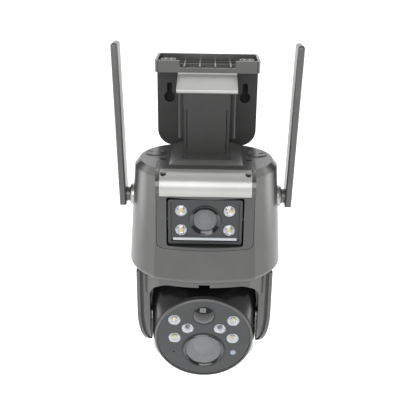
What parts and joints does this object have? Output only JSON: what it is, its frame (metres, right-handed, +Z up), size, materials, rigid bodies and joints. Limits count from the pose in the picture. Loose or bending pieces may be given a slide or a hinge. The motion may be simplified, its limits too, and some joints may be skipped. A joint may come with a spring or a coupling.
{
  "type": "security camera",
  "caption": "Wall-mounted battery security camera with a fixed upper eye, a pan-and-tilt round lower head, swinging paddle antennas and a bracket tray for a solar panel.",
  "frame": {"origin": "on the wall plane, midway between the two keyholes of the wall plate", "axes": "+Z up, the camera looks towards -Y, the wall lies at Y = 0 and +Y points into it"},
  "size_m": [0.1554, 0.12, 0.2993],
  "materials": {
    "graphite_plastic": "semi-gloss graphite paint-effect moulding",
    "dark_plastic": "fine-textured dark moulding",
    "silver_trim": "satin silver lacquer",
    "black_gloss": "polished black",
    "face_satin": "satin dark grey",
    "clear_lens": "clear moulded lens",
    "camera_glass": "coated grey glass",
    "light_diffuser": "frosted light guide",
    "foam": "closed-cell foam",
    "soft_rubber": "moulded rubber",
    "circuit_board": "solder mask",
    "steel": "machined steel",
    "acetal": "natural acetal",
    "cell_sleeve": "shrink sleeve"
  },
  "bodies": {
    "body": {"antenna_base_left": "graphite_plastic", "antenna_base_right": "graphite_plastic", "arm_cover": "dark_plastic", "arm_housing": "dark_plastic", "base_plate": "graphite_plastic", "battery_cells": "cell_sleeve", "body_shell": "graphite_plastic", "button_switch": "dark_plastic", "charge_socket": "steel", "cover_screws": "steel", "front_hood": "silver_trim", "main_board": "circuit_board", "neck_hood": "silver_trim", "pan_motor": "steel", "panel_tray": "graphite_plastic", "service_panel": "graphite_plastic", "top_plugs": "graphite_plastic", "wall_gasket": "foam", "wall_plate": "graphite_plastic", "window_bezel": "graphite_plastic"},
    "pan_yoke": {"yoke_frame": "graphite_plastic", "yoke_strip_left": "dark_plastic", "yoke_strip_right": "dark_plastic", "yoke_cover_left": "graphite_plastic", "yoke_cover_right": "graphite_plastic", "trunnion_left": "steel", "trunnion_right": "steel", "tilt_gear": "acetal", "pan_gear": "acetal"},
    "pan_drive": {"pan_pinion": "acetal"},
    "head": {"head_barrel": "black_gloss", "rear_cap": "black_gloss", "head_rim": "graphite_plastic", "face_plate": "face_satin", "motion_lens": "black_gloss", "white_lamps": "clear_lens", "infrared_lamps": "clear_lens", "zoom_ring": "black_gloss", "zoom_barrel": "dark_plastic", "zoom_glass": "camera_glass", "light_sensor": "clear_lens", "lamp_board": "circuit_board", "image_board": "circuit_board", "tilt_motor": "steel"},
    "tilt_drive": {"tilt_pinion": "acetal"},
    "upper_eye": {"module_housing": "face_satin", "module_plate": "face_satin", "light_strip": "light_diffuser", "eye_ring": "black_gloss", "eye_barrel": "dark_plastic", "eye_glass": "camera_glass", "module_lamps": "clear_lens", "module_board": "circuit_board"},
    "left_antenna": {"antenna_left": "graphite_plastic", "antenna_plug_left": "graphite_plastic"},
    "right_antenna": {"antenna_right": "graphite_plastic", "antenna_plug_right": "graphite_plastic"},
    "power_button": {"power_button": "soft_rubber"},
    "socket_flap": {"socket_flap": "soft_rubber"}
  },
  "joints": [
    {"name": "pan", "type": "hinge", "parent": "body", "child": "pan_yoke", "pos_m": [0, -0.068, -0.136], "axis": [0, 0, 1], "range_deg": [-175, 175]},
    {"name": "pan_pinion_spin", "type": "hinge", "parent": "body", "child": "pan_drive", "pos_m": [0, -0.098, -0.1307], "axis": [0, 0, 1], "range_deg": [-710, 710]},
    {"name": "tilt", "type": "hinge", "parent": "pan_yoke", "child": "head", "pos_m": [0, -0.068, -0.194], "axis": [1, 0, 0], "range_deg": [-14, 76]},
    {"name": "tilt_pinion_spin", "type": "hinge", "parent": "head", "child": "tilt_drive", "pos_m": [-0.033, -0.0488, -0.194], "axis": [1, 0, 0], "range_deg": [-60, 240]},
    {"name": "eye_tilt", "type": "hinge", "parent": "body", "child": "upper_eye", "pos_m": [0, -0.1044, -0.0814], "axis": [1, 0, 0], "range_deg": [-5, 5]},
    {"name": "left_antenna_swing", "type": "hinge", "parent": "body", "child": "left_antenna", "pos_m": [-0.066, -0.068, -0.074], "axis": [1, 0, 0], "range_deg": [-25, 90]},
    {"name": "right_antenna_swing", "type": "hinge", "parent": "body", "child": "right_antenna", "pos_m": [0.066, -0.068, -0.074], "axis": [1, 0, 0], "range_deg": [-25, 90]},
    {"name": "power_button_press", "type": "slide", "parent": "body", "child": "power_button", "axis": [0, -1, 0], "range_m": [0, 0.0008], "stiffness_N_per_m": 1200},
    {"name": "socket_flap_lift", "type": "hinge", "parent": "body", "child": "socket_flap", "pos_m": [0.01, -0.0273, -0.1085], "axis": [-1, 0, 0], "range_deg": [0, 100]}
  ],
  "couplings": [
    {"joint": "pan_pinion_spin", "follows": "pan", "ratio": -4},
    {"joint": "tilt_pinion_spin", "follows": "tilt", "ratio": 3}
  ]
}
